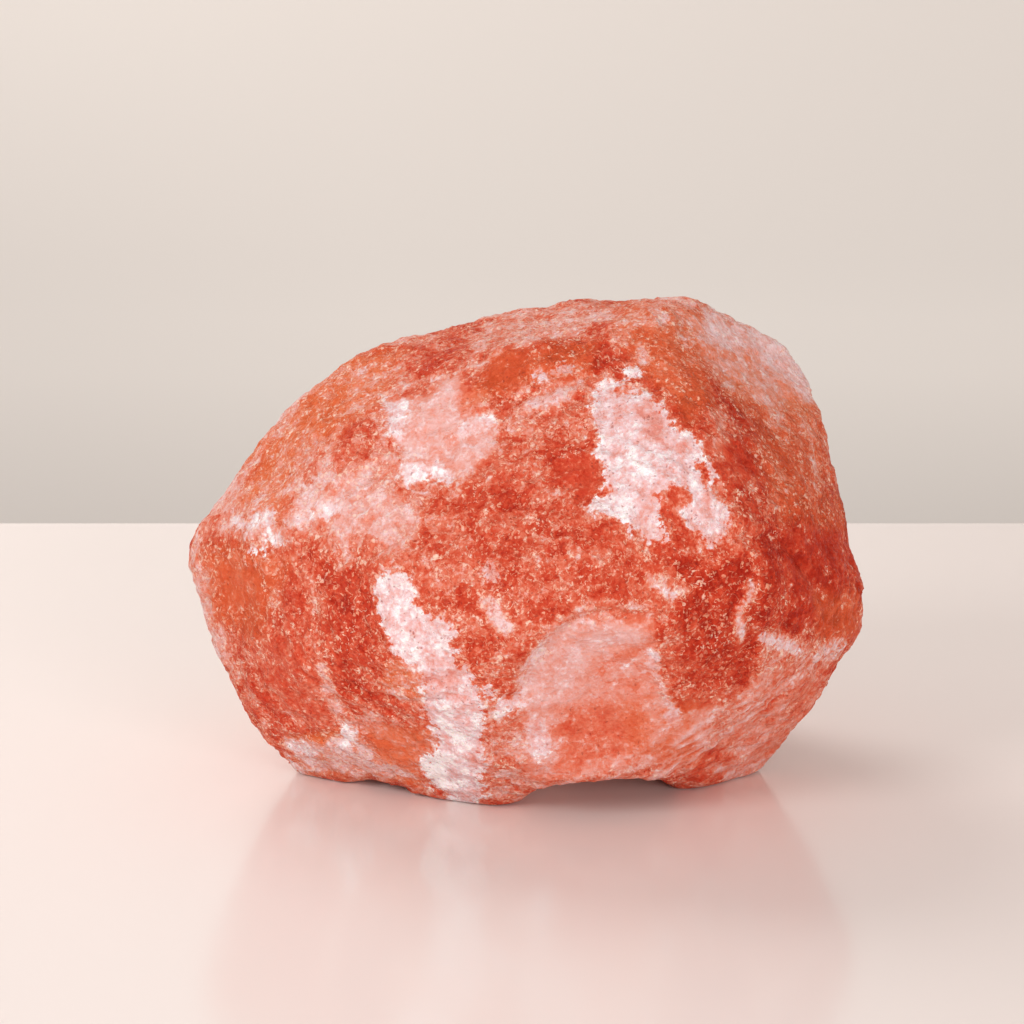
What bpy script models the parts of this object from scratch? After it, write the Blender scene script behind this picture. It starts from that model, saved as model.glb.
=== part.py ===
"""A rough lump of red rock salt (massive halite), broken from the seam and resting on its own feet.

The lump is one piece. It starts as a block whose broken faces meet at the corners listed below. Shell-shaped
scoops and an arch under the belly are cut from it, its ridges are worn round, and its skin is made uneven.
Lengths are in metres, with +Z up and +X to the right of someone facing the front, who looks along +Y.
"""

from math import radians

import bmesh
import bpy
from mathutils import Matrix, Vector, noise

MM = 0.001

# Corners of the broken faces, in millimetres, as (right, back, up) from the middle of the base.
# The outline is what shows against the background from the front, clockwise from the left tip.
OUTLINE = (
    (-77, -12, 54), (-68, -6, 64), (-63, -8, 72), (-54, -2, 84), (-48, 0, 89), (-37, 4, 96),
    (-20, 10, 100), (-4, 14, 104), (13, 12, 108), (27, -4, 109), (37, -4, 110), (47, 4, 104),
    (58, 10, 99), (64, 8, 92), (67, 0, 84), (69, -4, 75), (71, -8, 64), (74, -12, 53),
    (77, -16, 43), (76, -18, 38), (72, -17, 31), (67, -14, 19), (62, -11, 12), (57, -9, 5),
)
LEFT_EDGE = ((-57, -14, 7), (-63, -18, 16), (-67, -18, 26), (-71, -16, 36), (-75, -14, 46))
FEET = (
    (53, -7, -2), (46, -13, -2), (39, -16, -2),
    (-4, -24, 0), (-11, -28, -2), (-18, -26, -2), (-28, -17, 0),
    (-40, -8, -2), (-51, -8, -2),
    (-46, 24, -2), (-28, 36, -2), (30, 36, -2), (44, 24, -2),
)
FRONT = (
    (-60, -30, 62), (-44, -41, 62), (-28, -51, 60), (-23, -56, 45), (-15, -53, 31), (-10, -45, 14),
    (-19, -20, 94), (3, -26, 101), (28, -20, 107), (37, -44, 87), (46, -52, 69), (52, -52, 52),
    (7, -60, 63), (3, -58, 43), (12, -60, 50), (25, -59, 50), (35, -53, 38), (51, -43, 30), (37, -30, 7), (67, -31, 36),
    (61, -32, 69), (66, -34, 50), (-49, -40, 36), (-42, -28, 13), (-40, -30, 80),
    (4, -40, 9), (16, -44, 11), (28, -40, 10),
)
BACK = (
    (-46, 32, 82), (-14, 42, 94), (26, 44, 98), (50, 36, 86),
    (-68, 20, 58), (-40, 50, 62), (-2, 56, 44), (30, 54, 66), (62, 32, 58),
    (-58, 28, 24), (-26, 50, 22), (14, 50, 12), (48, 42, 22), (66, 8, 22),
)

# What has broken out of the faces: the name, middle and radii in millimetres, and forward lean in degrees,
# of each round cutter. The old breaks are worn with the rest of the block, and the fresh ones keep their rims.
OLD_BREAKS = (
    ("left_arch", (-31, -20, -5), (12, 22, 7), 0),
    ("crown_dip", (20, 8, 115), (8, 40, 9), 0),
    ("under_ledge_high", (79, -20, 25), (9, 14, 5), 0),
    ("under_ledge_low", (70, -16, 12), (7, 14, 4), 0),
    ("left_notch", (-74, -18, 19), (9, 12, 5), 0),
    ("cheek_step", (88, -52, 76), (26, 16, 18), 0),
    ("brow_step", (-30, -66, 106), (56, 48, 20), 0),
    ("back_shell", (-34, 104, 70), (50, 58, 38), 20),
    ("back_low_shell", (42, 92, 20), (38, 46, 26), -20),
    ("left_shell", (-128, 16, 44), (62, 34, 30), 0),
    ("right_shell", (128, 24, 70), (64, 28, 30), 0),
    ("sole_hollow", (4, 8, -8), (60, 44, 11), 0),
)
FRESH_BREAKS = (
    ("front_shell", (18, -65, 21), (37, 18, 44), 20),
    ("belly_arch", (17, -30, -6), (20, 32, 15), -6),
)
CUTTER_SUBDIVISIONS = 5

# Wear, relief and face count. A pass of wear moves each point this share of the way to its neighbours' middle,
# and then out again by the swell. Lumps are given as (size, height).
VOXEL = 1.5 * MM
WEAR_SHARE = 0.5
WEAR_SWELL = 0.08 * MM
OLD_WEAR_PASSES = 5
FRESH_WEAR_PASSES = 1
OLD_LUMPS = ((15 * MM, 0.9 * MM), (7.5 * MM, 0.6 * MM), (4.2 * MM, 0.3 * MM))
FRESH_LUMPS = ((9 * MM, 0.3 * MM), (4.6 * MM, 0.2 * MM))
FACES = 9400
FOLD_SHARE = 0.25

# The salt: orange red from fine iron oxide, dull where it broke.
SALT_COLOUR = (0.60, 0.13, 0.07, 1.0)
SALT_ROUGHNESS = 0.55


def link(name, shape):
    """A new object in the scene from a finished bmesh."""
    mesh = bpy.data.meshes.new(name)
    shape.to_mesh(mesh)
    shape.free()
    obj = bpy.data.objects.new(name, mesh)
    bpy.context.scene.collection.objects.link(obj)
    return obj


def block():
    """The block as it broke away: flat faces between the corners."""
    shape = bmesh.new()
    for corner in OUTLINE + LEFT_EDGE + FEET + FRONT + BACK:
        shape.verts.new(Vector(corner) * MM)
    hull = bmesh.ops.convex_hull(shape, input=shape.verts)
    bmesh.ops.delete(shape, geom=hull["geom_interior"], context="VERTS")
    bmesh.ops.recalc_face_normals(shape, faces=shape.faces)
    return link("halite_lump", shape)


def cut(lump, name, middle, radii, lean):
    """Breaks a round scoop out of the lump."""
    shape = bmesh.new()
    bmesh.ops.create_icosphere(shape, subdivisions=CUTTER_SUBDIVISIONS, radius=1.0)
    place = Matrix.Translation(Vector(middle) * MM) @ Matrix.Rotation(radians(lean), 4, "X")
    shape.transform(place @ Matrix.Diagonal(Vector(radii) * MM).to_4x4())
    cutter = link(name, shape)
    cutter.hide_render = True
    cutter.display_type = "WIRE"
    boolean = lump.modifiers.new(name, "BOOLEAN")
    boolean.operation = "DIFFERENCE"
    boolean.object = cutter


def apply_modifiers(obj):
    """Makes what the modifiers show the object's own mesh."""
    graph = bpy.context.evaluated_depsgraph_get()
    graph.update()
    made = bpy.data.meshes.new_from_object(obj.evaluated_get(graph))
    obj.modifiers.clear()
    obj.data = made


def even_faces(lump):
    """Small even faces all over, which the wear and the relief need."""
    remesh = lump.modifiers.new("even_faces", "REMESH")
    remesh.mode = "VOXEL"
    remesh.voxel_size = VOXEL
    apply_modifiers(lump)


def read(lump):
    """The lump's mesh, ready to edit."""
    shape = bmesh.new()
    shape.from_mesh(lump.data)
    return shape


def write(shape, lump):
    """Puts the edited mesh back."""
    shape.to_mesh(lump.data)
    shape.free()


def soften(shape, share):
    """Moves every point towards the middle of its neighbours."""
    bmesh.ops.smooth_vert(
        shape, verts=shape.verts, factor=share, use_axis_x=True, use_axis_y=True, use_axis_z=True
    )
    shape.normal_update()


def wear(lump, passes):
    """Rounds the ridges and gives back what the rounding took."""
    shape = read(lump)
    for _ in range(passes):
        soften(shape, WEAR_SHARE)
    for vertex in shape.verts:
        vertex.co += vertex.normal * (WEAR_SWELL * passes)
    write(shape, lump)


def roughen(lump, lumps):
    """The uneven skin of a broken face: low lumps and pits at a few sizes."""
    shape = read(lump)
    shape.normal_update()
    for vertex in shape.verts:
        rise = sum(height * noise.noise(vertex.co / size) for size, height in lumps)
        vertex.co += vertex.normal * rise
    write(shape, lump)


def thin_out(lump):
    """Keeps the faces where the shape bends, drops those it can do without, and opens the folds this leaves."""
    thin = lump.modifiers.new("thin_out", "DECIMATE")
    thin.ratio = FACES / (2 * len(lump.data.polygons))
    apply_modifiers(lump)
    shape = read(lump)
    soften(shape, FOLD_SHARE)
    write(shape, lump)


def flatten_feet(lump):
    """Cuts the feet level, so that the lump rests on flat pads."""
    shape = read(lump)
    parts = shape.verts[:] + shape.edges[:] + shape.faces[:]
    sliced = bmesh.ops.bisect_plane(
        shape, geom=parts, plane_co=(0, 0, 0), plane_no=(0, 0, -1), clear_outer=True
    )
    rims = [part for part in sliced["geom_cut"] if isinstance(part, bmesh.types.BMEdge)]
    bmesh.ops.holes_fill(shape, edges=rims, sides=0)
    write(shape, lump)


def centre(lump):
    """Moves the mesh so that the middle of its base is at the origin."""
    corners = [Vector(corner) for corner in lump.bound_box]
    low = Vector(min(corner[axis] for corner in corners) for axis in range(3))
    high = Vector(max(corner[axis] for corner in corners) for axis in range(3))
    lump.data.transform(Matrix.Translation((-(low.x + high.x) / 2, -(low.y + high.y) / 2, -low.z)))


def salt():
    """Cloudy red rock salt."""
    material = bpy.data.materials.new("red_rock_salt")
    material.use_nodes = True
    shader = material.node_tree.nodes["Principled BSDF"]
    shader.inputs["Base Color"].default_value = SALT_COLOUR
    shader.inputs["Roughness"].default_value = SALT_ROUGHNESS
    shader.inputs["Metallic"].default_value = 0.0
    return material


def main():
    for obj in list(bpy.data.objects):
        bpy.data.objects.remove(obj)
    lump = block()
    for break_out in OLD_BREAKS:
        cut(lump, *break_out)
    even_faces(lump)
    wear(lump, OLD_WEAR_PASSES)
    roughen(lump, OLD_LUMPS)
    for break_out in FRESH_BREAKS:
        cut(lump, *break_out)
    even_faces(lump)
    wear(lump, FRESH_WEAR_PASSES)
    roughen(lump, FRESH_LUMPS)
    thin_out(lump)
    flatten_feet(lump)
    centre(lump)
    lump.data.shade_smooth()
    lump.data.materials.clear()
    lump.data.materials.append(salt())


if __name__ == "__main__":
    main()
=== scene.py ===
# %% [markdown]
# A lump of red rock salt
#
# Rock salt is halite that settled out of brine in thick seams. A lump of it is a mass of small angular
# grains, grown into each other, with iron oxide between them that makes it red. Where the lump broke from
# the seam its faces are flat or shell-shaped, and where brine ran through it later the grains are white.
# The model has one piece, because the lump formed as one. This script gives the plain solid its fine
# relief, its colours and its light.

from math import cos, radians, sin

import bmesh
import bpy
import numpy as np
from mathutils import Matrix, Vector, noise
from mathutils.bvhtree import BVHTree


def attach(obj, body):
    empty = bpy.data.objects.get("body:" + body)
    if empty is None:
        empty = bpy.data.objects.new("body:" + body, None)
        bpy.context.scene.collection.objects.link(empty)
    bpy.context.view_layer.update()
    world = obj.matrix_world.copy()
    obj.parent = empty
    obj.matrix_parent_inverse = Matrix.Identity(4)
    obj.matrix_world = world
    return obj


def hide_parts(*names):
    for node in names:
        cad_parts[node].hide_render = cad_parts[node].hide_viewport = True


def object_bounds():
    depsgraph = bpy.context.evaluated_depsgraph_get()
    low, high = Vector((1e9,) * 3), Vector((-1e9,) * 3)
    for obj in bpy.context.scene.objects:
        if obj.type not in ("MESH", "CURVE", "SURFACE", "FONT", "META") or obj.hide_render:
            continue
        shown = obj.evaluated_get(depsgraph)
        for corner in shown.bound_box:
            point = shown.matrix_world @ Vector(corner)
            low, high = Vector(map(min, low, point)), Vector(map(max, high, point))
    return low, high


MM = 0.001
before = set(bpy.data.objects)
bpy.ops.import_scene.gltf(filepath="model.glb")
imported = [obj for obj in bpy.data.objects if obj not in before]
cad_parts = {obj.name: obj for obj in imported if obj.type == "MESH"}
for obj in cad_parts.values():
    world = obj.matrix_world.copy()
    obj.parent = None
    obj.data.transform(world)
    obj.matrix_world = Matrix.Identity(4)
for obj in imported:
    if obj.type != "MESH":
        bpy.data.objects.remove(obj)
solid_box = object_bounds()
print("the solid spans", [round(side / MM, 1) for side in solid_box[1] - solid_box[0]], "mm")

# %% [markdown]
# The camera comes first, because the patches of colour are placed by where they show in its picture. A
# long lens from a little above keeps the lump's sides nearly upright, as in a product picture.

# %% Camera
PICTURE = 1024
LENS = 85.0
SENSOR = 36.0
ELEVATION = radians(12)
DISTANCE = 0.545
AIM = Vector((-0.0030, -0.0074, 0.0620))

away = Vector((0, -cos(ELEVATION), sin(ELEVATION)))
camera_data = bpy.data.cameras.new("camera")
camera_data.lens = LENS
camera_data.sensor_width = SENSOR
camera_data.clip_start = 0.01
camera = bpy.data.objects.new("camera", camera_data)
camera.location = AIM + away * DISTANCE
camera.rotation_mode = "QUATERNION"
camera.rotation_quaternion = (-away).to_track_quat("-Z", "Y")
bpy.context.scene.collection.objects.link(camera)
bpy.context.scene.camera = camera
print("the camera is at", [round(value, 3) for value in camera.location])


def sight(pixel):
    """The direction in which the camera sees a pixel of its picture."""
    across = (pixel[0] - PICTURE / 2) * SENSOR / LENS / PICTURE
    down = (pixel[1] - PICTURE / 2) * SENSOR / LENS / PICTURE
    return (camera.rotation_quaternion @ Vector((across, -down, -1))).normalized()


# %% [markdown]
# The solid's faces are a few millimetres wide, too coarse for the grain of the salt. A voxel remesh wraps
# a copy of it in even faces under a millimetre wide, as small as 200,000 triangles allow. Subdividing
# would follow the uneven triangles of the solid instead. A few rounds of smoothing remove what is left of
# the solid's flat faces.

# %% A finer skin
SKIN_VOXEL = 0.89 * MM
SKIN_SMOOTHING = 7
SMOOTHING_SHARE = 0.5
MERGE_DISTANCE = 0.01 * MM


def finer_copy(node, name):
    """A copy of a node's mesh, wrapped in small even faces."""
    mesh = node.data.copy()
    mesh.name = name
    merged = bmesh.new()
    merged.from_mesh(mesh)
    bmesh.ops.remove_doubles(merged, verts=merged.verts, dist=MERGE_DISTANCE)
    merged.to_mesh(mesh)
    merged.free()
    piece = bpy.data.objects.new(name, mesh)
    bpy.context.scene.collection.objects.link(piece)
    wrap = piece.modifiers.new("wrap", "REMESH")
    wrap.mode = "VOXEL"
    wrap.voxel_size = SKIN_VOXEL
    graph = bpy.context.evaluated_depsgraph_get()
    wrapped = bpy.data.meshes.new_from_object(piece.evaluated_get(graph))
    piece.modifiers.clear()
    piece.data = wrapped
    wrapped.name = name
    return piece


lump = finer_copy(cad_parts["halite_lump"], "salt_lump")
skin = bmesh.new()
skin.from_mesh(lump.data)
for _ in range(SKIN_SMOOTHING):
    bmesh.ops.smooth_vert(
        skin, verts=skin.verts, factor=SMOOTHING_SHARE, use_axis_x=True, use_axis_y=True, use_axis_z=True
    )
skin.normal_update()
skin.verts.ensure_lookup_table()
print("the skin has", len(skin.verts), "points and", 2 * len(skin.faces), "triangles")

# %% [markdown]
# Each ledge and groove below is a stroke: a few places in the picture, in pixels, joined by straight
# lines that are laid onto the lump by looking along the camera's line of sight. What a stroke changes
# depends on the distance to it on the lump itself, in millimetres, so a ledge runs round an edge as a
# real one does. Placing them by coordinates would do too, but a place in the picture is easier to check.

# %% Strokes laid on the lump
surface = BVHTree.FromBMesh(skin)
points = np.array([vertex.co for vertex in skin.verts])
outward = np.array([vertex.normal for vertex in skin.verts])


def lay(pixels):
    """The places on the lump that show at these pixels."""
    found = [surface.ray_cast(camera.location, sight(pixel))[0] for pixel in pixels]
    return [np.array(place) for place in found if place is not None]


def from_stroke(pixels):
    """For every point of the skin, the vector to it from the nearest place on the stroke."""
    places = lay(pixels)
    nearest = points - places[0]
    for start, end in zip(places, places[1:]):
        along = end - start
        share = np.clip((points - start) @ along / (along @ along), 0, 1)
        offset = points - start - share[:, None] * along
        closer = (offset ** 2).sum(1) < (nearest ** 2).sum(1)
        nearest[closer] = offset[closer]
    return nearest


def ramp(value, low, high):
    """0 below low, 1 above high, and smooth between."""
    share = np.clip((value - low) / (high - low), 0, 1)
    return share * share * (3 - 2 * share)


def cloud(size, seed):
    """A smooth random value at every point of the skin, about -1 to 1, with features of this size."""
    shift = Vector((seed * 17.3, seed * 5.1, seed * 11.7))
    return np.array([noise.noise(Vector(place) / size + shift) for place in points])


# %% [markdown]
# The fine relief is real geometry down to about two millimetres. Chips are the flat tilted faces that
# grains leave: each cell of a Voronoi pattern gets a slope of its own. Terraces are low winding steps,
# where the break jumped from one layer to the next. Pits are where single grains fell out. The fresh
# shell-shaped break low on the front is smoother than the rest, so all of this is weaker there. Low
# swells of a few millimetres lie over it all. A Displace modifier could do this with textures, but code
# can weaken it by place. Smaller grain is left to the material.

# %% Chips, terraces and pits
CHIPS = ((10.0 * MM, 0.40 * MM), (4.6 * MM, 0.30 * MM), (2.5 * MM, 0.20 * MM))
TERRACES = ((30 * MM, 0.75 * MM), (13 * MM, 0.30 * MM))
TERRACE_STEPS = 5
TERRACE_SEED = 11
PIT_SIZE = 6.0 * MM
PIT_DEPTH = 0.45 * MM
PIT_SEED = 7
SWELLS = ((3.2 * MM, 0.22 * MM), (1.7 * MM, 0.15 * MM))
SWELL_SEED = 2
SHELL_LINE = ((560, 660), (590, 700), (640, 730))
SHELL_REACH = 24 * MM
SHELL_SHARE = 0.4


def chips(size, height, seed):
    """Tilted facets: within each cell of the pattern the surface leans one way."""
    shift = Vector((seed, seed, seed))
    lift = np.empty(len(points))
    for index, place in enumerate(points):
        scaled = Vector(place) / size + shift
        centre = noise.voronoi(scaled)[1][0]
        lean = noise.cell_vector(centre) - Vector((0.5, 0.5, 0.5))
        lift[index] = (scaled - centre).dot(lean) * 2
    return lift * height


def pits(size, depth, seed):
    """Small hollows round some of the pattern's centres."""
    shift = Vector((seed, seed, seed))
    near = np.array([noise.voronoi(Vector(place) / size + shift)[0][0] for place in points])
    return -depth * ramp(-near, -0.30, -0.08)


def terraces(size, height, seed):
    """Low steps that wind over the surface, along the contours of a smooth random value."""
    value = TERRACE_STEPS * cloud(size, seed)
    part = value - np.floor(value)
    return height * (ramp(part, 0.26, 0.74) - part)


lift = sum(chips(size, height, seed) for seed, (size, height) in enumerate(CHIPS))
lift += sum(terraces(size, height, seed) for seed, (size, height) in enumerate(TERRACES, TERRACE_SEED))
lift += pits(PIT_SIZE, PIT_DEPTH, PIT_SEED)
lift += sum(height * cloud(size, seed) for seed, (size, height) in enumerate(SWELLS, SWELL_SEED))
from_shell = np.linalg.norm(from_stroke(SHELL_LINE), axis=1)
lift *= SHELL_SHARE + (1 - SHELL_SHARE) * ramp(from_shell, 0.5 * SHELL_REACH, SHELL_REACH)
print("chips, terraces and pits move the skin by up to", round(abs(lift).max() / MM, 2), "mm")

# %% [markdown]
# A ledge is a step up to about a millimetre high, where a layer of the salt ends. The skin just below a
# ledge's stroke is set back, and comes up again over a few millimetres. Under the right tip the broken
# edges of the layers show as fine grooves that run down to the foot: noise, stretched along the line that
# they follow.

# %% Ledges and grooves
LEDGES = {
    "upper front, low": (((428, 386), (450, 377), (472, 368), (500, 360), (532, 352), (562, 343)), 0.50),
    "upper front, high": (((300, 420), (350, 392), (400, 372), (450, 352)), 0.35),
    "upper front, mid": (((505, 402), (540, 392), (580, 372), (620, 350)), 0.35),
    "brow": (((472, 346), (530, 338), (590, 330), (640, 322)), 0.45),
    "left cheek": (((262, 540), (290, 548), (322, 562)), 0.45),
    "right face step": (((756, 536), (768, 530), (784, 534), (800, 552), (822, 585)), 1.30),
    "rim of the shell": (((516, 694), (528, 665), (546, 640), (574, 616), (612, 607), (650, 614)), 1.20),
    "undercut crest": (((846, 648), (800, 672), (768, 695), (735, 730), (704, 768)), 0.70),
}
LEDGE_REACH = 5.0 * MM
LEDGE_WIDTH = 0.6 * MM
GROOVE_LINE = ((836, 656), (704, 762))
GROOVE_REACH = 24 * MM
GROOVE_DEPTH = 0.45 * MM
GROOVE_WIDTH = 1.3 * MM
GROOVE_LENGTH = 14 * MM
CREST_WIDTH = 3 * MM

toward = np.array(camera.location) - points
toward /= np.linalg.norm(toward, axis=1)[:, None]
facing = (outward * toward).sum(1)
seen = ramp(facing, -0.05, 0.25)

for name, (pixels, depth) in LEDGES.items():
    offset = from_stroke(pixels)
    below = -offset[:, 2]
    far = np.linalg.norm(offset, axis=1)
    drop = ramp(below, -LEDGE_WIDTH, LEDGE_WIDTH) * (1 - ramp(far, 0, LEDGE_REACH))
    lift -= depth * MM * drop * seen

upper, lower = lay(GROOVE_LINE)
run = (lower - upper) / np.linalg.norm(lower - upper)
below_crest = ramp(-(points - upper) @ np.cross(run, (0, 1, 0)), 0, CREST_WIDTH)
from_grooves = np.linalg.norm(from_stroke(GROOVE_LINE), axis=1)
near_grooves = below_crest * (1 - ramp(from_grooves, 0.6 * GROOVE_REACH, GROOVE_REACH))
stretched = points - np.outer(points @ run, run) * (1 - GROOVE_WIDTH / GROOVE_LENGTH)
groove = np.array([noise.noise(Vector(place) / GROOVE_WIDTH) for place in stretched])
lift += GROOVE_DEPTH * groove * near_grooves * seen
grooved = 100 * float((near_grooves > 0.5).mean())
print(len(LEDGES), "ledges laid, and grooves over", round(grooved, 1), "% of the skin")

# %% [markdown]
# The relief fades out at the soles of the feet, so the lump still stands on the flat pads of the solid,
# and it may not pass the solid's box.

# %% Move the skin
PAD_HEIGHT = 0.1 * MM
PAD_MARGIN = 1.5 * MM

lift *= ramp(points[:, 2], PAD_HEIGHT, PAD_MARGIN)
moved = points + outward * lift[:, None]
moved = np.clip(moved, np.array(solid_box[0]), np.array(solid_box[1]))
for vertex, place in zip(skin.verts, moved):
    vertex.co = place
skin.to_mesh(lump.data)
skin.free()
lump.data.shade_smooth()
print("the skin rose by up to", round(lift.max() / MM, 2), "mm and sank by up to", round(-lift.min() / MM, 2))

# %% [markdown]
# Colour in rock salt lies in patches: iron oxide makes it red or orange, brine washed it pale, and fresh
# salt grew back white. Each patch is an outline or a stroke in the picture, in pixels, laid over the ones
# before it. What is stored is not a colour but how pale the salt is, from 0, deep red, to 1, white. The
# pixel at which a point shows is first shifted a little by noise, so the outlines come out ragged. It
# shifts more where the skin turns away from the camera, because there an outline would be drawn out into
# a long straight shape on the lump's side. The patches could be painted on an unwrapped image, but
# outlines stay easy to change, and need no image.

# %% Where the skin shows in the picture
SHIFTS = ((7.0 * MM, 5.0), (2.6 * MM, 3.0))
TURNED_SHIFTS = ((15 * MM, 26.0), (6.0 * MM, 12.0))
SHIFT_SEED = 1

# The vector noise takes its offsets from the clock, and differs in each run, unless a seed is set.
noise.seed_set(SHIFT_SEED)
axes = np.array(camera.rotation_quaternion.to_matrix())
local = (points - np.array(camera.location)) @ axes
shown = local[:, :2] * (1, -1) / -local[:, 2:] * PICTURE * LENS / SENSOR + PICTURE / 2


def stray(size):
    """A random sideways shift for every point, with features of this size."""
    return np.array([noise.noise_vector(Vector(place) / size)[:2] for place in points])


for size, reach in SHIFTS:
    shown += reach * stray(size)
turned = 1 - ramp(facing, 0.10, 0.60)
for size, reach in TURNED_SHIFTS:
    shown += reach * turned[:, None] * stray(size)
print("the skin spans pixels", shown.min(axis=0).round(), "to", shown.max(axis=0).round())


def from_line(start, end):
    """The distance in pixels of every point of the skin from a line."""
    along = end - start
    share = np.clip((shown - start) @ along / (along @ along), 0, 1)
    return np.linalg.norm(shown - start - share[:, None] * along, axis=1)


def inside(outline):
    """How far inside an outline each point shows, in pixels. It is negative outside."""
    corners = np.array(outline, float)
    nearest = np.full(len(shown), np.inf)
    within = np.zeros(len(shown), bool)
    for start, end in zip(corners, np.roll(corners, -1, axis=0)):
        nearest = np.minimum(nearest, from_line(start, end))
        spans = (start[1] > shown[:, 1]) != (end[1] > shown[:, 1])
        slope = (end[0] - start[0]) / (end[1] - start[1] or 1.0)
        within ^= spans & (shown[:, 0] < start[0] + (shown[:, 1] - start[1]) * slope)
    return np.where(within, nearest, -nearest)


def inside_stroke(stroke, half_width):
    """The same for a stroke of some width."""
    places = np.array(stroke, float)
    nearest = [from_line(start, end) for start, end in zip(places, places[1:])]
    return half_width - np.min(nearest, axis=0)


def lay_over(field, depth_inside, level, softness):
    """Lays a patch of one level over a field."""
    cover = ramp(depth_inside, -softness, softness)
    return field + (level - field) * cover
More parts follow.
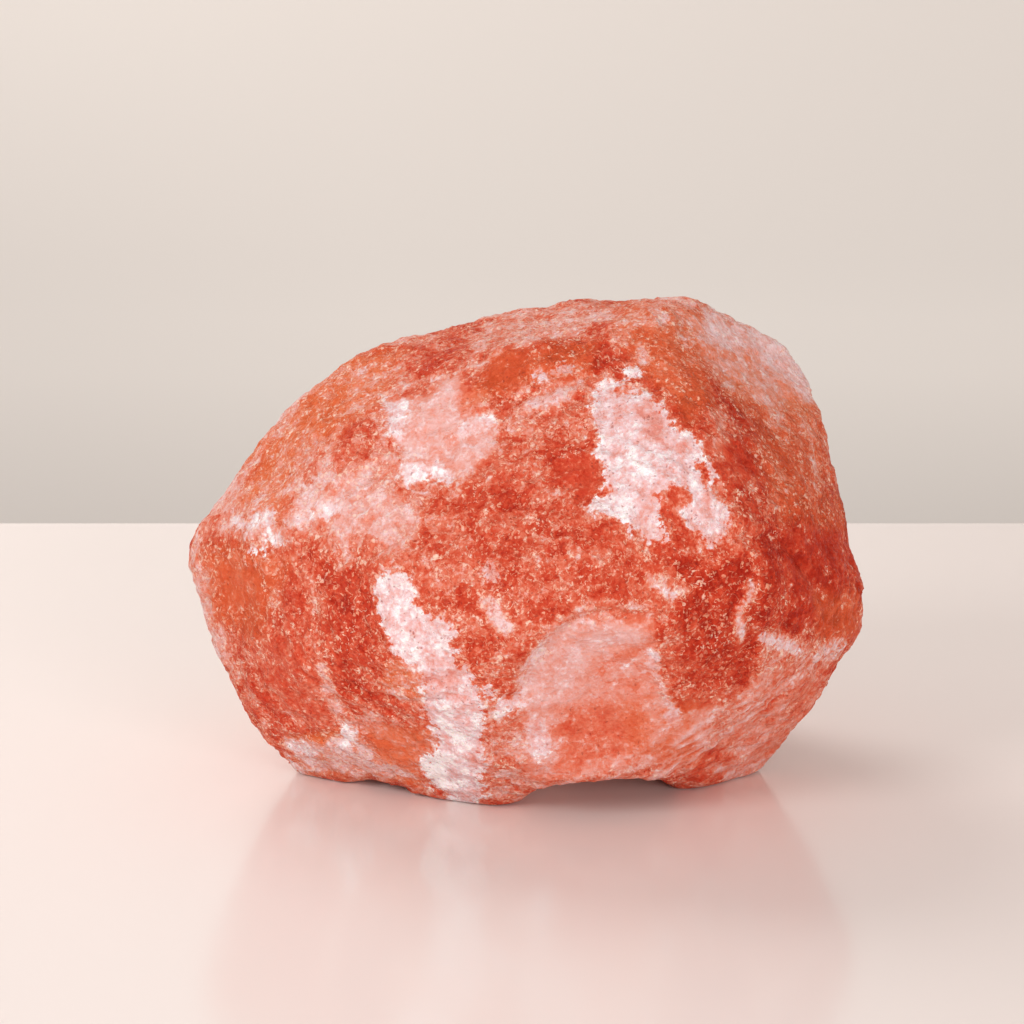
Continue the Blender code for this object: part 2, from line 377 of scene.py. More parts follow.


# %% [markdown]
# First the body of the salt, from large patches to small ones. Before each outline stand its level and,
# in pixels, how soft its edge is. A stroke has its half width before them. The grooves under the right
# tip show as paler and redder lines too, so they sway the paleness. The pale strokes along the outline
# and the rim of the upper right corner are painted light: pale bands for the glow of light through thin
# edges and for the sheen at the outline.

# %% How pale the salt is
BODY = 0.33
BAND_CONTRAST = 0.30
PALE_AREAS = {
    "left shoulder": (0.50, 12, (
        (236, 500), (262, 440), (300, 396), (345, 356), (420, 340), (470, 330), (470, 368), (400, 392),
        (380, 450), (320, 462), (290, 510),
    )),
    "left shoulder, deep": (0.34, 8, (
        (300, 398), (336, 402), (332, 440), (384, 414), (384, 436), (340, 446), (306, 430),
    )),
    "shoulder, upper": (0.32, 8, ((400, 345), (470, 332), (484, 350), (450, 372), (405, 380))),
    "top plane": (0.57, 6, (
        (470, 332), (520, 310), (570, 302), (612, 302), (600, 322), (566, 336), (520, 346), (478, 352),
    )),
    "brow": (0.17, 6, (
        (462, 408), (474, 376), (492, 354), (540, 344), (600, 340), (612, 356), (590, 376), (560, 364),
        (536, 366), (520, 388), (490, 404),
    )),
    "under the brow": (0.38, 10, (
        (506, 396), (540, 380), (590, 374), (586, 410), (560, 430), (524, 440), (500, 420),
    )),
    "left patch, round it": (0.46, 8, (
        (380, 396), (440, 372), (470, 376), (510, 420), (506, 462), (462, 490), (396, 490), (376, 440),
    )),
    "left patch": (0.67, 4, (
        (386, 400), (430, 392), (442, 380), (462, 376), (460, 402), (458, 416), (482, 414), (498, 424),
        (498, 446), (484, 456), (476, 470), (452, 484), (426, 476), (408, 484), (402, 470), (404, 450),
        (390, 438),
    )),
    "pale band, round it": (0.54, 12, (
        (250, 500), (300, 464), (380, 456), (430, 500), (446, 560), (380, 566), (320, 544), (262, 530),
    )),
    "pale band": (0.66, 6, (
        (284, 518), (298, 500), (312, 474), (344, 468), (372, 464), (380, 484), (408, 496), (406, 506),
        (430, 522), (428, 536), (380, 542), (350, 530), (318, 532), (298, 528),
    )),
    "left tip": (0.58, 6, (
        (196, 540), (216, 512), (240, 490), (262, 500), (292, 512), (286, 540), (262, 552), (236, 536),
        (214, 532),
    )),
    "left cheek": (0.36, 10, (
        (196, 546), (290, 552), (330, 580), (330, 690), (290, 720), (250, 690), (206, 620),
    )),
    "left cheek, smooth": (0.34, 8, ((218, 566), (262, 570), (258, 606), (228, 604))),
    # Painted shade: a dark line on the crest where the surface turns down into the left cheek.
    "cheek crest shade": (0.28, 3, ((262, 540), (296, 545), (322, 560), (320, 568), (290, 556), (262, 552))),
    "left of the streak": (0.25, 9, (
        (318, 570), (372, 584), (372, 640), (380, 700), (344, 690), (330, 640),
    )),
    "salmon by the streak": (0.55, 4, ((388, 664), (424, 664), (424, 706), (400, 706), (384, 690))),
    "lower middle": (0.43, 5, (
        (362, 724), (384, 714), (420, 722), (440, 742), (424, 758), (416, 780), (372, 764),
    )),
    "below the streak's side": (0.52, 6, ((344, 706), (384, 712), (380, 736), (350, 734))),
    "lower left streak": (0.64, 3, (
        (314, 666), (324, 662), (336, 690), (350, 706), (346, 716), (334, 714), (324, 696),
    )),
    "left foot": (0.70, 5, (
        (280, 740), (320, 742), (352, 726), (372, 758), (420, 782), (380, 778), (300, 770),
    )),
    "centre": (0.33, 12, (
        (430, 486), (520, 470), (560, 500), (640, 540), (700, 570), (650, 606), (560, 606), (520, 660),
        (496, 660), (460, 620), (430, 600), (420, 540),
    )),
    "centre, pale": (0.31, 8, ((560, 530), (620, 532), (626, 566), (570, 572))),
    "left of the crown patch": (0.27, 7, ((548, 452), (590, 440), (604, 480), (584, 504), (560, 502))),
    "peak": (0.54, 8, ((600, 318), (640, 300), (690, 308), (700, 340), (650, 352), (610, 350))),
    "peak, red side": (0.27, 8, (
        (640, 330), (672, 326), (700, 370), (706, 430), (690, 436), (666, 402), (640, 384), (620, 360),
    )),
    "corner": (0.62, 8, (
        (690, 318), (740, 320), (790, 344), (812, 400), (810, 440), (770, 424), (735, 394), (698, 350),
    )),
    # Painted light: a pale band along the corner's outline, for the glow through its thin edge and the sheen
    # there.
    "corner, edge glow": (0.76, 5, (
        (700, 300), (742, 308), (792, 330), (816, 366), (826, 410), (804, 402), (786, 372), (752, 350),
        (710, 334),
    )),
    "right face, upper": (0.22, 9, (
        (680, 384), (740, 390), (780, 440), (770, 490), (740, 480), (704, 440),
    )),
    "right face, far": (0.32, 14, ((780, 400), (826, 404), (842, 500), (812, 530), (784, 480))),
    "right face, middle": (0.28, 9, ((730, 482), (760, 486), (786, 520), (766, 534), (736, 520))),
    "right face, lower": (0.15, 16, (
        (748, 566), (780, 536), (800, 500), (840, 486), (864, 600), (850, 640), (800, 638), (758, 632),
    )),
    "right step": (0.05, 3, ((758, 538), (770, 530), (786, 536), (806, 556), (800, 566), (768, 560))),
    "right tip": (0.24, 5, ((838, 590), (862, 600), (862, 640), (838, 644))),
    "below the crown patch": (0.16, 9, (
        (676, 560), (750, 556), (762, 620), (750, 680), (700, 690), (684, 640),
    )),
    "right of the shell": (0.28, 8, ((652, 640), (700, 650), (720, 704), (680, 720), (662, 690))),
    "shell": (0.56, 3, (
        (512, 706), (520, 674), (540, 640), (556, 620), (600, 606), (650, 612), (656, 640), (668, 680),
        (680, 716), (736, 700), (704, 758), (676, 776), (600, 776), (520, 794), (508, 750),
    )),
    "shell, upper left": (0.69, 5, (
        (516, 704), (528, 660), (556, 624), (600, 612), (640, 616), (646, 640), (590, 660), (580, 700),
        (540, 712),
    )),
    "shell, upper edge": (0.47, 4, (
        (556, 622), (586, 604), (640, 606), (652, 618), (640, 628), (590, 624),
    )),
    "shell, low": (0.42, 12, ((556, 706), (640, 700), (644, 754), (600, 768), (560, 760))),
    "shell, left side": (0.55, 10, ((510, 716), (548, 716), (552, 784), (516, 792))),
    "shell, lip": (0.54, 4, ((594, 762), (630, 754), (676, 762), (672, 774), (600, 774))),
    "undercut face": (0.51, 6, (
        (740, 690), (790, 668), (838, 664), (800, 730), (770, 776), (716, 780), (724, 730),
    )),
    "undercut band": (0.50, 4, (
        (762, 640), (780, 630), (804, 642), (850, 640), (848, 656), (812, 668), (790, 690), (764, 704),
        (736, 714), (712, 740), (704, 730), (726, 704), (750, 684),
    )),
    "undercut, red edge": (0.43, 5, ((798, 676), (838, 664), (834, 690), (790, 730), (782, 720))),
    "heel": (0.57, 5, ((722, 756), (748, 744), (776, 752), (770, 776), (730, 782))),
    "right foot": (0.31, 4, ((676, 774), (714, 752), (744, 744), (724, 766), (730, 782), (690, 790))),
    "streak's right side": (0.53, 5, ((488, 700), (508, 716), (516, 790), (494, 800), (484, 760))),
}
PALE_STROKES = {
    # Painted light: a pale band along the left outline, for the glow through the thin edge and the sheen
    # there.
    "left edge glow": (8, 0.64, 5, ((350, 348), (298, 392), (258, 434), (236, 472), (202, 516))),
    # Painted light: a pale band along the top outline, for the glow through the thin edge and the sheen
    # there.
    "top edge glow": (5, 0.60, 4, (
        (346, 346), (410, 328), (470, 316), (540, 300), (600, 294), (650, 294), (704, 302),
    )),
    # Painted light: a pale band along the outline of the left tip, for the glow through the thin edge and the
    # sheen.
    "left tip edge glow": (8, 0.63, 5, ((204, 516), (194, 540), (194, 566), (204, 596), (216, 636), (232, 676))),
    "shoulder ledge": (2.5, 0.62, 3, ((436, 382), (470, 366), (500, 354), (530, 344))),
    "rim of the shell": (1.5, 0.70, 2, ((552, 626), (574, 610), (600, 602), (650, 608))),
    "under the brow, line": (6, 0.60, 5, ((520, 410), (546, 400), (576, 388))),
    "spot by the peak": (6, 0.58, 4, ((640, 348), (642, 360))),
    "middle blob": (8, 0.66, 5, ((488, 602), (506, 628))),
    "right thread": (5, 0.50, 6, ((752, 584), (742, 606), (738, 640))),
    "cream flecks above the shell": (7, 0.48, 6, ((652, 586), (680, 590))),
    "stripe on the right face": (7, 0.46, 5, ((716, 410), (724, 440), (716, 446))),
    "lower stripe on the right face": (6, 0.50, 6, ((800, 410), (822, 480))),
}

pale = np.full(len(points), BODY)
for level, softness, outline in PALE_AREAS.values():
    pale = lay_over(pale, inside(outline), level, softness)
for half_width, level, softness, stroke in PALE_STROKES.values():
    pale = lay_over(pale, inside_stroke(stroke, half_width), level, softness)
pale += BAND_CONTRAST * groove * near_grooves * seen
patches = len(PALE_AREAS) + len(PALE_STROKES)
print(patches, "patches laid, from", round(pale.min(), 2), "to", round(pale.max(), 2))

# %% [markdown]
# The white crust has edges of its own: the field is 0.5 at the edge, and the material cuts it off there
# after adding finer noise. A second field says how white the crust is within, from 0.4, a salmon crust,
# to 1.2, pure white.

# %% White crust
CRUST_AREAS = {
    "crown patch": (
        (599, 383), (607, 378), (618, 388), (640, 392), (653, 400), (665, 410), (668, 420), (683, 431),
        (695, 438), (702, 450), (696, 464), (700, 480), (712, 492), (726, 508), (731, 530), (722, 543),
        (706, 547), (698, 533), (688, 523), (683, 511), (691, 500), (684, 489), (668, 484), (659, 493),
        (660, 506), (655, 518), (664, 530), (670, 540), (658, 546), (645, 541), (636, 530), (622, 520),
        (604, 515), (584, 504), (593, 495), (606, 487), (604, 476), (606, 466), (598, 457), (590, 452),
        (598, 441), (595, 428), (589, 415), (591, 400),
    ),
    "streak": (
        (376, 579), (392, 570), (408, 573), (413, 590), (412, 604), (428, 614), (434, 620), (448, 618),
        (456, 630), (449, 645), (455, 660), (468, 672), (477, 690), (484, 714), (481, 740), (486, 760),
        (478, 776), (488, 792), (470, 806), (452, 800), (440, 790), (426, 784), (421, 770), (425, 756),
        (438, 746), (437, 732), (424, 722), (420, 712), (425, 694), (421, 668), (396, 658), (389, 648),
        (391, 638), (378, 616), (374, 598),
    ),
    "left patch, corner": ((386, 402), (402, 400), (402, 424), (398, 438), (388, 436)),
}
CRUST_STROKES = {
    "left patch, lower spots": (((410, 474), (424, 472)), 6.0),
    "left patch, lower right": (((434, 470), (448, 480)), 5.0),
    "left patch, thread": (((466, 430), (488, 421)), 5.0),
    "tip fleck, left": (((238, 521), (250, 524), (260, 515)), 2.5),
    "tip fleck, right": (((270, 518), (266, 530), (276, 543)), 3.5),
    "tip fleck, low": (((252, 551), (264, 547)), 1.5),
    "band fleck": (((296, 520), (308, 514)), 2.0),
    "band fleck, right": (((326, 510), (330, 508)), 4.5),
    "under the brow, upper": (((542, 374), (570, 369)), 4.0),
    "under the brow, lower": (((534, 406), (562, 396)), 3.5),
    "spot by the crown patch": (((626, 374), (637, 373)), 5.0),
    "small blob": (((491, 567), (494, 577)), 5.0),
    "middle blob": (((492, 604), (502, 624)), 2.5),
    "speck by the streak": (((488, 690), (490, 696)), 4.5),
    "crown patch, grains beside it": (((706, 462), (714, 482)), 3.0),
    "right thread": (((750, 588), (742, 604)), 1.0),
    "right thread, low": (((740, 620), (740, 634)), 1.5),
    "undercut band": (((766, 636), (780, 642), (796, 648)), 4.0),
    "undercut band, tip": (((826, 656), (846, 646)), -0.5),
    "shell spot, left": (((536, 730), (541, 748)), 8.0),
    "shell spot, above": (((655, 660), (656, 668)), 5.0),
    "shell spot, right": (((671, 714), (673, 720)), 5.0),
    "shell edge spot": (((502, 710), (516, 702)), 5.0),
    "foot patch": (((346, 732), (348, 748)), 6.0),
    "foot patch, left": (((292, 750), (308, 757)), 3.5),
    "fleck above the shell": (((664, 590), (672, 596)), 4.5),
}
CRUST_LEVEL = 0.86
CRUST_AREAS_WITHIN = {
    "under the brow": (0.64, 4, ((526, 362), (584, 358), (580, 412), (522, 416))),
    "spot by the crown patch": (0.90, 4, ((618, 366), (644, 366), (644, 380), (618, 380))),
    "middle": (0.55, 4, ((480, 560), (512, 560), (512, 634), (480, 634))),
    "crown patch": (0.76, 8, ((590, 376), (640, 384), (700, 440), (736, 540), (640, 548), (580, 510))),
    "crown patch, brightest": (0.84, 8, (
        (600, 446), (646, 448), (650, 480), (630, 504), (604, 504), (608, 478),
    )),
    "crown patch, left edge": (0.86, 5, (
        (588, 438), (606, 444), (614, 498), (648, 520), (622, 528), (584, 508),
    )),
    "crown patch, right lobe": (0.75, 5, ((700, 506), (720, 500), (734, 530), (722, 546), (702, 544))),
    "crown patch, red tinge": (0.40, 6, ((638, 416), (664, 424), (668, 444), (644, 442))),
    "crown patch, below": (0.76, 6, ((636, 484), (662, 492), (664, 512), (640, 508))),
    "spots in the shell": (0.66, 4, ((524, 650), (680, 650), (680, 756), (524, 756))),
    "right thread": (0.62, 4, ((732, 580), (758, 580), (758, 644), (732, 644))),
    "undercut band": (0.74, 4, ((760, 624), (850, 632), (850, 662), (760, 656))),
    "streak, middle": (0.78, 6, ((388, 606), (426, 612), (428, 648), (396, 656))),
    "streak, neck": (0.66, 7, ((424, 652), (462, 656), (478, 692), (472, 704), (424, 700))),
    "streak, body": (0.92, 8, ((446, 722), (478, 726), (478, 742), (448, 742))),
    "streak, toe": (1.20, 5, ((422, 756), (444, 760), (446, 790), (430, 786))),
}
CRUST_FADE = 12.0

white = np.zeros(len(points))
for outline in CRUST_AREAS.values():
    white = np.maximum(white, ramp(inside(outline), -CRUST_FADE, CRUST_FADE))
for stroke, half_width in CRUST_STROKES.values():
    white = np.maximum(white, ramp(inside_stroke(stroke, half_width), -CRUST_FADE, CRUST_FADE))
frost = np.full(len(points), CRUST_LEVEL)
for level, softness, outline in CRUST_AREAS_WITHIN.values():
    frost = lay_over(frost, inside(outline), level, softness)
print("the crust covers", round(100 * float((white > 0.5).mean()), 1), "% of the skin")

# %% [markdown]
# Two more fields: where the salt is orange rather than pink, and how much loose grain, or sugar, shows.
# Glassy salt has hardly any.

# %% Warmth and sugar
ORANGE_ELSEWHERE = 0.05
SUGAR_ELSEWHERE = 0.90
ORANGE_AREAS = {
    "left patch": (0.0, 12, ((386, 400), (462, 376), (498, 424), (476, 470), (408, 484))),
    "left shoulder": (1.0, 14, (
        (236, 500), (262, 440), (300, 396), (345, 356), (400, 345), (384, 400), (300, 460), (280, 520),
    )),
    "left tip": (0.6, 12, ((200, 550), (240, 540), (290, 560), (260, 640), (210, 620))),
    "brow": (0.55, 8, ((462, 408), (492, 354), (600, 338), (590, 376), (520, 388))),
    "peak": (0.60, 10, ((600, 318), (640, 300), (700, 310), (712, 400), (690, 420), (640, 370))),
    "lower middle": (0.7, 8, ((362, 724), (440, 730), (416, 780), (372, 764))),
    "left foot": (1.0, 6, ((280, 740), (352, 726), (372, 758), (420, 782), (300, 770))),
    "salmon by the streak": (0.8, 5, ((388, 664), (424, 664), (424, 706), (384, 690))),
    "right tip": (0.5, 12, ((820, 590), (862, 600), (862, 640), (820, 644))),
    "shell, right": (0.4, 10, ((620, 700), (700, 700), (700, 760), (630, 760))),
    "corner": (0.9, 10, (
        (690, 318), (740, 316), (792, 344), (814, 400), (810, 440), (770, 424), (735, 394),
    )),
    "right face": (0.5, 14, ((740, 400), (830, 420), (846, 520), (780, 520))),
}
SMOOTH_AREAS = {
    "brow": (0.30, 8, ((484, 392), (494, 358), (526, 354), (520, 382))),
    "left patch": (0.35, 8, ((386, 400), (462, 376), (498, 424), (476, 470), (408, 484))),
    "pale band": (0.60, 8, ((290, 518), (344, 470), (400, 496), (428, 536), (350, 532))),
    "left of the crown patch": (0.30, 8, ((556, 458), (596, 452), (602, 480), (584, 500), (566, 496))),
    "right face, upper": (0.35, 8, ((690, 436), (740, 440), (764, 484), (720, 480))),
    "peak": (0.65, 8, ((640, 330), (672, 326), (700, 370), (706, 430), (666, 402))),
    "right face, lower": (0.42, 14, ((756, 536), (860, 510), (864, 640), (800, 630))),
    "right foot": (0.30, 6, ((676, 774), (714, 752), (744, 744), (730, 782), (690, 790))),
    "shell, right": (0.15, 8, ((640, 706), (716, 700), (700, 764), (640, 766))),
    "shell": (0.18, 8, ((520, 700), (560, 630), (650, 616), (660, 700), (640, 766), (530, 780))),
    "lower middle": (0.25, 8, ((366, 722), (440, 736), (416, 776), (376, 760))),
    "left low": (0.50, 12, ((262, 640), (310, 650), (330, 720), (300, 730), (264, 700))),
    "left cheek": (0.35, 8, ((218, 566), (262, 570), (258, 606), (228, 604))),
    "undercut": (0.45, 8, (
        (740, 690), (790, 668), (838, 664), (800, 730), (770, 776), (716, 780), (724, 730),
    )),
    "corner": (0.35, 8, (
        (690, 318), (740, 320), (790, 344), (812, 400), (770, 410), (735, 384), (700, 345),
    )),
    "crust": (0.45, 8, ((600, 390), (640, 396), (700, 450), (720, 520), (640, 520), (600, 500))),
    "streak": (0.45, 8, (
        (380, 580), (420, 600), (470, 690), (484, 790), (430, 780), (424, 700), (386, 640),
    )),
}

orange = np.full(len(points), ORANGE_ELSEWHERE)
for level, softness, outline in ORANGE_AREAS.values():
    orange = lay_over(orange, inside(outline), level, softness)
sugar = np.full(len(points), SUGAR_ELSEWHERE)
for level, softness, outline in SMOOTH_AREAS.values():
    sugar = lay_over(sugar, inside(outline), level, softness)
print("sugary salt covers", round(100 * float((sugar > 0.5).mean())), "% of the skin")

# %% [markdown]
# The camera sees one side. Round the back each field comes from smooth random clouds instead, with about
# the spread that it has on the front, and the two meet a little past the edge of what shows.

# %% Fields round the back
def clouds(size, seed):
    """Three sizes of cloud together."""
    return cloud(size, seed) + 0.5 * cloud(size / 2.3, seed + 10) + 0.3 * cloud(size / 5.1, seed + 20)


HIDDEN = {
    "pale": np.clip(0.34 + 0.42 * clouds(30 * MM, 31), 0.06, 0.76),
    "white": 0.9 * ramp(clouds(27 * MM, 46), 0.10, 0.95),
    "frost": np.clip(0.82 + 0.35 * clouds(8 * MM, 33), 0.50, 1.10),
    "orange": np.clip(0.12 + 0.5 * clouds(30 * MM, 34), 0, 0.7),
    "sugar": np.clip(0.70 - 0.8 * clouds(20 * MM, 35), 0.1, 1),
}
FRONT = {"pale": pale, "white": white, "frost": frost, "orange": orange, "sugar": sugar}
shows = ramp(facing, -0.50, -0.15)

for name, hidden in HIDDEN.items():
    field = FRONT[name] * shows + hidden * (1 - shows)
    attribute = lump.data.attributes.new(name, "FLOAT", "POINT")
    attribute.data.foreach_set("value", field.astype(np.float32))
    print(name, "averages", round(float(field.mean()), 2), "over the skin")

# %% [markdown]
# The salt's material reads Object coordinates, scaled so that one unit is a millimetre, and the five
# fields. Small helpers keep the node graph readable: each makes a node, or a short chain of them, and
# returns its output.

# %% Helpers for the nodes
def colour(hex_text):
    """A colour as a picture shows it, turned into the linear light that shaders use."""
    levels = [int(hex_text[place:place + 2], 16) / 255 for place in (1, 3, 5)]
    linear = [value / 12.92 if value <= 0.04045 else ((value + 0.055) / 1.055) ** 2.4 for value in levels]
    return (*linear, 1.0)


def make(tree, kind, inputs, **settings):
    """One node, with its sockets set or linked."""
    node = tree.nodes.new(kind)
    for key, value in settings.items():
        setattr(node, key, value)
    for key, value in inputs.items():
        if isinstance(value, bpy.types.NodeSocket):
            tree.links.new(value, node.inputs[key])
        else:
            node.inputs[key].default_value = value
    return node


def grain_noise(tree, place, size, detail=2.0, roughness=0.5):
    """Cloudy noise with features of this size in millimetres."""
    inputs = {"Vector": place, "Scale": 1 / size, "Detail": detail, "Roughness": roughness}
    return make(tree, "ShaderNodeTexNoise", inputs).outputs["Fac"]


def maths(tree, operation, first, second=0.0, third=0.0):
    """One sum."""
    return make(tree, "ShaderNodeMath", {0: first, 1: second, 2: third}, operation=operation).outputs[0]


def product(tree, first, *others):
    """Values multiplied together."""
    for other in others:
        first = maths(tree, "MULTIPLY", first, other)
    return first


def gap(tree, value, middle):
    """How far a value is from a middle one."""
    return maths(tree, "ABSOLUTE", maths(tree, "SUBTRACT", value, middle))


def step(tree, value, low, high):
    """0 at low, 1 at high, and smooth between. Low may be the larger of the two."""
    inputs = {"Value": value, "From Min": low, "From Max": high}
    return make(tree, "ShaderNodeMapRange", inputs, interpolation_type="SMOOTHSTEP").outputs[0]


def tint(tree, share, under, over):
    """One colour laid over another."""
    node = make(tree, "ShaderNodeMix", {"Factor": share}, data_type="RGBA")
    for socket, value in ((node.inputs[6], under), (node.inputs[7], over)):
        if isinstance(value, bpy.types.NodeSocket):
            tree.links.new(value, socket)
        else:
            socket.default_value = value
    return node.outputs[2]


def sway(tree, value, *pushes):
    """A value, pushed up and down by noises. Each push is a noise and its weight."""
    for rough, weight in pushes:
        value = maths(tree, "MULTIPLY_ADD", maths(tree, "SUBTRACT", rough, 0.5), weight, value)
    return value


# %% [markdown]
# The salt's colour runs along one line, from deep red where iron oxide is thick, through orange and
# salmon, to white where there is none. So one number, the paleness, carries the patches, the mottling and
# the grains, and a colour ramp turns it into paint. Noise at three sizes, given in millimetres, sways it.

# %% Noise at three sizes
MEDIUM = 4.6
SMALL = 1.6
TINY = 0.75

salt = bpy.data.materials.new("red_rock_salt")
salt.use_nodes = True
tree = salt.node_tree
coordinates = make(tree, "ShaderNodeTexCoord", {}).outputs["Object"]
millimetres = {"Vector": coordinates, "Scale": (1 / MM, 1 / MM, 1 / MM)}
place = make(tree, "ShaderNodeMapping", millimetres).outputs["Vector"]
field = {name: make(tree, "ShaderNodeAttribute", {}, attribute_name=name).outputs["Fac"] for name in HIDDEN}

medium = grain_noise(tree, place, MEDIUM, 4.0, 0.62)
small = grain_noise(tree, place, SMALL, 3.0, 0.65)
tiny = grain_noise(tree, place, TINY, 2.0, 0.6)
print("the salt reads", list(field))

# %% [markdown]
# Real salt is grains about a millimetre wide in lumps of a few. They could be scattered over the skin as
# small meshes, but there are tens of thousands of them, so the material draws them. Each cell of a
# Voronoi pattern is a grain, a flake or a lump with a shade of its own. Reading the patterns at places
# warped by noise keeps their outlines from being straight.

# %% Grains, flakes and lumps of grains
GRAIN = 0.85
FLAKE = 1.5
LUMP = 3.8
WARP = 1.3
WARP_SCALE = 0.9

wander = make(tree, "ShaderNodeTexNoise", {"Vector": place, "Scale": WARP_SCALE, "Detail": 2.0})
shifted = {0: wander.outputs["Color"], 1: (WARP, WARP, WARP), 2: place}
warped = make(tree, "ShaderNodeVectorMath", shifted, operation="MULTIPLY_ADD").outputs[0]


def cells(size):
    """A Voronoi pattern of this size: the distance from each cell's middle, and its three random shades."""
    pattern = make(tree, "ShaderNodeTexVoronoi", {"Vector": warped, "Scale": 1 / size})
    shades_of_cell = make(tree, "ShaderNodeSeparateColor", {"Color": pattern.outputs["Color"]}).outputs
    return pattern.outputs["Distance"], shades_of_cell


grain_reach, grain_shade = cells(GRAIN)
flake_reach, flake_shade = cells(FLAKE)
lump_shade = cells(LUMP)[1]
print("grains of", GRAIN, "mm, flakes of", FLAKE, "mm and lumps of", LUMP, "mm")

# %% [markdown]
# The crust grew back as fine white grains, so its edge is ragged. The field is swayed by noise and cut
# off at about a half. This first cut is a coarse one: it only keeps the bright flakes off the crust.

# %% Edges of the crust
edge = sway(tree, field["white"], (medium, 0.7), (small, 0.9))
off_crust = step(tree, step(tree, edge, 0.35, 0.55), 0.60, 0.20)

# %% [markdown]
# Loose salt lies over the grains, and its edges catch the light. A narrow band round the middle value of
# a noise gives thin curled lines, and a second noise breaks them into short flecks. Crumbs are single
# pale grains, and flakes are larger ones that lie in clusters. All three are left out where the salt is
# glassy. A band of the same noise a little higher gives the thin shadows beside the flecks.

# %% Flecks, crumbs and flakes
CURL = 1.9
LINE = 0.035
BREAK = 1.0
CLUSTER = 6.0
MIDDLE = 0.5
BESIDE = 0.59

curls = grain_noise(tree, warped, CURL, 2.0, 0.55)
lines = step(tree, gap(tree, curls, MIDDLE), LINE, 0.5 * LINE)
curled = product(tree, lines, step(tree, grain_noise(tree, place, BREAK, 1.0), 0.46, 0.53))
crumbs = product(tree, step(tree, grain_shade[0], 0.80, 0.82), step(tree, grain_reach, 0.50, 0.34))
flakes = product(tree, step(tree, flake_shade[0], 0.66, 0.70), step(tree, flake_reach, 0.42, 0.30))
loose = step(tree, sway(tree, field["sugar"], (medium, 2.0), (small, 1.0)), 0.35, 0.85)
clusters = step(tree, sway(tree, grain_noise(tree, place, CLUSTER, 3.0, 0.6), (small, 0.9)), 0.55, 0.67)
flecks = product(tree, maths(tree, "MAXIMUM", curled, crumbs), loose, step(tree, grain_shade[1], -0.5, 1.1))
bright = product(tree, maths(tree, "MAXIMUM", flakes, curled), clusters, loose, off_crust)
shadows = step(tree, gap(tree, curls, BESIDE), LINE, 0.4 * LINE)
shadows = product(tree, shadows, step(tree, grain_shade[2], 0.35, 0.60))
print("curled flecks of", CURL, "mm, in clusters of", CLUSTER, "mm")

# %% [markdown]
# The paleness of the body is its field, plus the mottling, which is weaker where the salt is glassy, plus
# a halo round the crust, where the brine soaked in. The crust's edge gets its finest noise here, before
# the final cut, and its whiteness is swayed as the body's paleness is.

# %% Paleness
HALO = 0.22

edge = sway(tree, edge, (grain_shade[1], 0.30), (curls, 0.8), (tiny, 0.4))
crust = step(tree, edge, 0.42, 0.58)
halo = step(tree, edge, 0.02, 0.56)
mottle = sway(
    tree, 0.0, (medium, 0.50), (small, 0.50), (tiny, 0.35), (lump_shade[0], 0.22), (grain_shade[2], 0.13)
)
mottle = maths(tree, "MULTIPLY_ADD", shadows, -0.08, mottle)
calm = maths(tree, "MULTIPLY_ADD", field["sugar"], 0.65, 0.42)
body = maths(tree, "MULTIPLY_ADD", mottle, calm, maths(tree, "MULTIPLY_ADD", halo, HALO, field["pale"]))
within = sway(tree, field["frost"], (medium, 1.40), (small, 0.90), (tiny, 0.30))
within = sway(tree, maths(tree, "MULTIPLY_ADD", shadows, -0.12, within), (grain_shade[2], 0.18))

# %% [markdown]
# One colour ramp turns the body's paleness into paint, and another the crust's. Over the body come the
# orange of thin iron oxide and then the crust. The shadows, the flecks and the bright flakes follow, and
# last the dark specks, where iron oxide fills the gaps between grains.

# %% Paint
SALT_COLOURS = (
    (0.00, "#9E1E12"), (0.16, "#BB3420"), (0.32, "#CC4F36"), (0.46, "#D9745A"),
    (0.60, "#DF9687"), (0.74, "#E2AFA9"), (0.88, "#EACACA"),
)
CRUST_COLOURS = (
    (0.40, "#D8877A"), (0.60, "#E0A49C"), (0.78, "#E3BDBE"), (0.92, "#EBD6D8"), (1.08, "#F8F1F1"),
)
ORANGE_RED = colour("#DF7440")
FLECK_RED = colour("#E8A182")
FLECK_PALE = colour("#F3CFBE")
FLECK_CREAM = colour("#F6D0BA")
SHADE = colour("#B2523C")
SPECK = colour("#8C342A")
ORANGE_SHARE = 0.55
BRIGHT_SHARE = 0.65
SPECK_SHARE = 0.50


def shades(value, stops):
    """A ramp of colours along a value."""
    reach = stops[-1][0]
    node = make(tree, "ShaderNodeValToRGB", {"Fac": maths(tree, "DIVIDE", value, reach)})
    elements = node.color_ramp.elements
    while len(elements) < len(stops):
        elements.new(1.0)
    for element, (position, tone) in zip(elements, stops):
        element.position = position / reach
        element.color = colour(tone)
    return node.outputs["Color"]


warm = product(tree, field["orange"], step(tree, body, 0.85, 0.35), ORANGE_SHARE)
paint = tint(tree, warm, shades(body, SALT_COLOURS), ORANGE_RED)
paint = tint(tree, crust, paint, shades(within, CRUST_COLOURS))
deep = step(tree, body, 0.72, 0.36)
shade_share = product(tree, shadows, loose, maths(tree, "MULTIPLY_ADD", deep, 0.30, 0.10))
paint = tint(tree, shade_share, paint, SHADE)
glint = tint(tree, step(tree, maths(tree, "MAXIMUM", body, crust), 0.20, 0.70), FLECK_RED, FLECK_PALE)
paint = tint(tree, product(tree, flecks, maths(tree, "MULTIPLY_ADD", crust, -0.5, 0.85)), paint, glint)
paint = tint(tree, product(tree, bright, BRIGHT_SHARE), paint, FLECK_CREAM)
specks = product(tree, step(tree, grain_shade[0], 0.16, 0.14), step(tree, grain_reach, 0.36, 0.22))
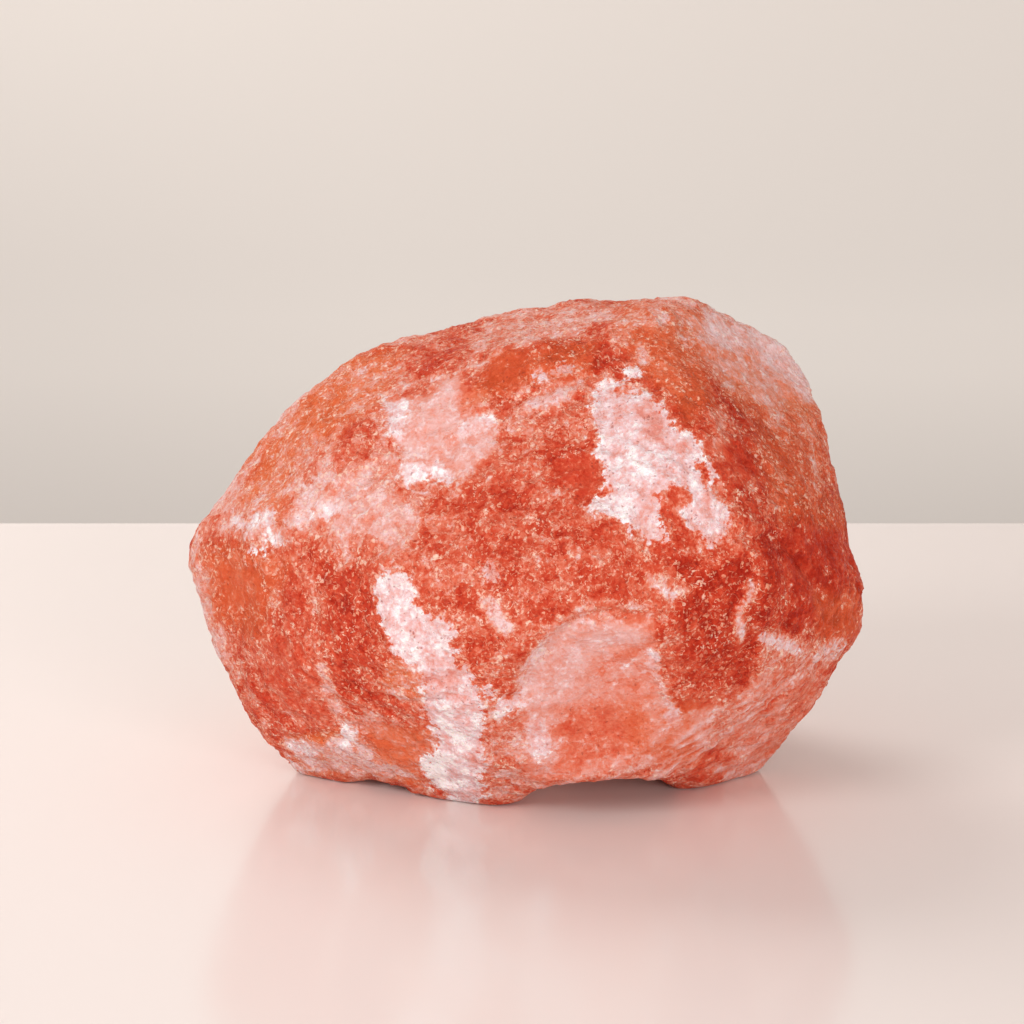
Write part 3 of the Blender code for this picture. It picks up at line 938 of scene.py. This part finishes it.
specks = product(tree, specks, maths(tree, "MAXIMUM", deep, crust), SPECK_SHARE)
paint = tint(tree, specks, paint, SPECK)
shader = tree.nodes["Principled BSDF"]
tree.links.new(paint, shader.inputs["Base Color"])
print("the salt has", len(SALT_COLOURS), "shades and the crust", len(CRUST_COLOURS))

# %% [markdown]
# The finest relief is bump. Grain faces tilt at random, and that breaks the soft light into the sugary
# glitter of salt. It is weaker where the salt is glassy. A little light passes under the surface, which
# softens the shade at thin edges. The index of refraction is that of halite.

# %% The salt's surface
BUMP = 0.9
HEIGHTS = ((tiny, 0.40), (small, 0.55), (flecks, 0.10))

height = product(tree, grain_reach, 0.25)
for part, weight in HEIGHTS:
    height = maths(tree, "MULTIPLY_ADD", part, weight, height)
height = product(tree, height, maths(tree, "MULTIPLY_ADD", field["sugar"], 0.60, 0.42))
bump = make(tree, "ShaderNodeBump", {"Strength": BUMP, "Distance": MM, "Height": height})
tree.links.new(bump.outputs["Normal"], shader.inputs["Normal"])
tree.links.new(step(tree, grain_shade[1], -0.6, 1.3), shader.inputs["Roughness"])
shader.inputs["IOR"].default_value = 1.544
shader.inputs["Subsurface Weight"].default_value = 0.18
shader.inputs["Subsurface Radius"].default_value = (1.0, 0.35, 0.22)
shader.inputs["Subsurface Scale"].default_value = 2.5 * MM
shader.inputs["Specular IOR Level"].default_value = 0.1
lump.data.materials.clear()
lump.data.materials.append(salt)
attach(lump, "root")
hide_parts("halite_lump")
print("the salt's material has", len(tree.nodes), "nodes")

# %% [markdown]
# The setting is plain: a pale, slightly glossy table whose back edge shows at the height of the lump's
# left tip, and a wall far enough behind it that the camera can go round the lump without meeting it. The
# table's top is a tenth of a millimetre below the feet, so that the two flat faces don't share a plane.

# %% Table and wall
TABLE_HALF = 1.6
TABLE_FRONT = -1.6
TABLE_BACK = 0.266
TABLE_TOP = -0.1 * MM
TABLE_THICKNESS = 0.03
WALL_HALF = 3.0
WALL_FRONT = 0.80
WALL_THICKNESS = 0.02
WALL_FOOT = -1.0
WALL_TOP = 2.0


def slab(name, low, high):
    """A plain block between two corners, as part of the setting."""
    shape = bmesh.new()
    bmesh.ops.create_cube(shape, size=1.0)
    for vertex in shape.verts:
        vertex.co = Vector(low[axis] if vertex.co[axis] < 0 else high[axis] for axis in range(3))
    mesh = bpy.data.meshes.new(name)
    shape.to_mesh(mesh)
    shape.free()
    made = bpy.data.objects.new(name, mesh)
    bpy.context.scene.collection.objects.link(made)
    return made


def plain(name, tone, roughness):
    """A plain material for the setting."""
    made = bpy.data.materials.new(name)
    made.use_nodes = True
    made.node_tree.nodes["Principled BSDF"].inputs["Base Color"].default_value = colour(tone)
    made.node_tree.nodes["Principled BSDF"].inputs["Roughness"].default_value = roughness
    return made


table = slab("table", (-TABLE_HALF, TABLE_FRONT, -TABLE_THICKNESS), (TABLE_HALF, TABLE_BACK, TABLE_TOP))
table.data.materials.append(plain("pale_table", "#F1E7E3", 0.16))
wall_corners = (-WALL_HALF, WALL_FRONT, WALL_FOOT), (WALL_HALF, WALL_FRONT + WALL_THICKNESS, WALL_TOP)
wall = slab("wall", *wall_corners)
wall.data.materials.append(plain("plain_wall", "#EBE3DC", 0.9))
print("the setting has", table.name, "and", wall.name)

# %% [markdown]
# The light is soft. The key light comes from the upper left and the front, so the lump's shadow lies to
# its right. A wide low one far out at the front right fills the front faces, and a weak one behind gives
# the top a thin bright rim. Those two are kept out of the table's reflections. The surroundings give an
# even, slightly warm fill.

# %% Light
LIGHT_COLOUR = "#FFFCFA"
FILL_COLOUR = "#F6F2EF"
FILL_STRENGTH = 0.435


def panel(name, place, size, power, mirrored):
    """A soft round light that looks at the lump. It may be kept out of reflections."""
    data = bpy.data.lights.new(name, "AREA")
    data.shape = "DISK"
    data.size = size
    data.energy = power
    data.color = colour(LIGHT_COLOUR)[:3]
    made = bpy.data.objects.new(name, data)
    made.location = place
    made.rotation_mode = "QUATERNION"
    made.rotation_quaternion = (AIM - Vector(place)).to_track_quat("-Z", "Y")
    made.visible_camera = False
    made.visible_glossy = mirrored
    bpy.context.scene.collection.objects.link(made)


panel("key", (-0.66, -0.58, 0.50), 0.45, 4.4, mirrored=True)
panel("front", (0.95, -1.80, 0.30), 1.20, 29.0, mirrored=False)
panel("back", (-0.38, 0.48, 0.66), 0.50, 3.2, mirrored=False)
world = bpy.data.worlds.new("surroundings")
world.use_nodes = True
world.node_tree.nodes["Background"].inputs["Color"].default_value = colour(FILL_COLOUR)
world.node_tree.nodes["Background"].inputs["Strength"].default_value = FILL_STRENGTH
bpy.context.scene.world = world
bpy.context.scene.view_settings.view_transform = "Standard"
